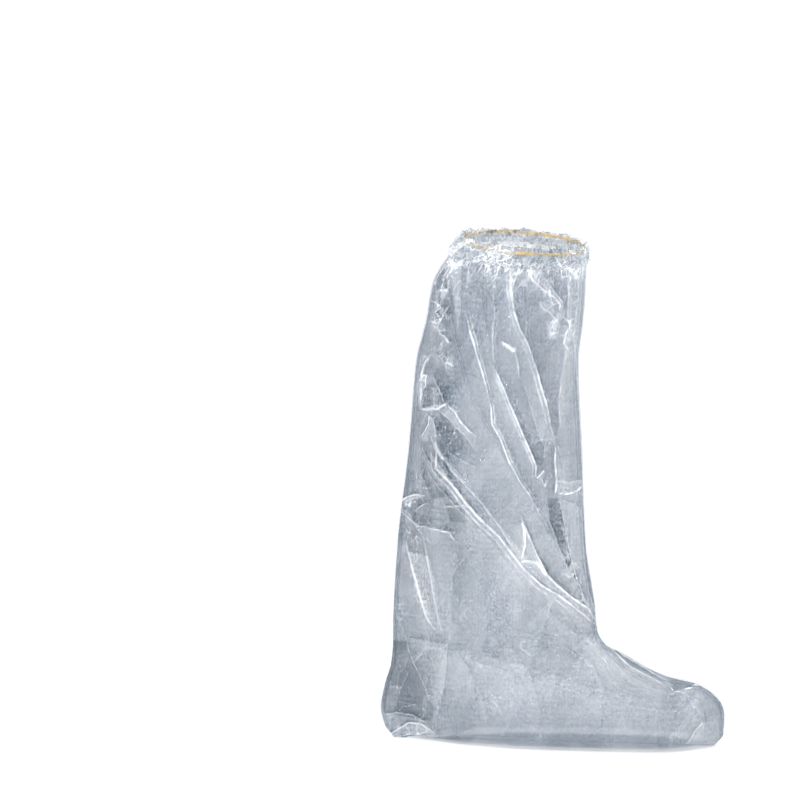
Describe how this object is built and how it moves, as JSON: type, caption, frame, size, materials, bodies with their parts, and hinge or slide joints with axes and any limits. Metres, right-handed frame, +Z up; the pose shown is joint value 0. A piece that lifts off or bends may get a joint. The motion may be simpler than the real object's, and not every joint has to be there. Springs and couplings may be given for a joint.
{
  "type": "shoe cover",
  "caption": "Knee-high disposable shoe cover of clear welded film with a gathered elastic top, open for a leg and a shoe.",
  "frame": {"origin": "centre of the leg opening, at the elastic", "axes": "+X from the heel to the toe, +Y to the wearer's left, +Z up the leg"},
  "size_m": [0.3303, 0.1241, 0.4835],
  "materials": {
    "clear_film": "thin see-through film, finely embossed, crinkled and glossy",
    "welded_film": "two films melted into one flat edge",
    "gathered_film": "see-through film in tight glossy gathers",
    "yellow_latex": "matt natural latex elastic"
  },
  "bodies": {
    "root": {"film_panel_right": "clear_film", "film_panel_left": "clear_film", "weld_seam": "welded_film", "top_hem": "gathered_film", "elastic_band": "yellow_latex"}
  },
  "joints": []
}
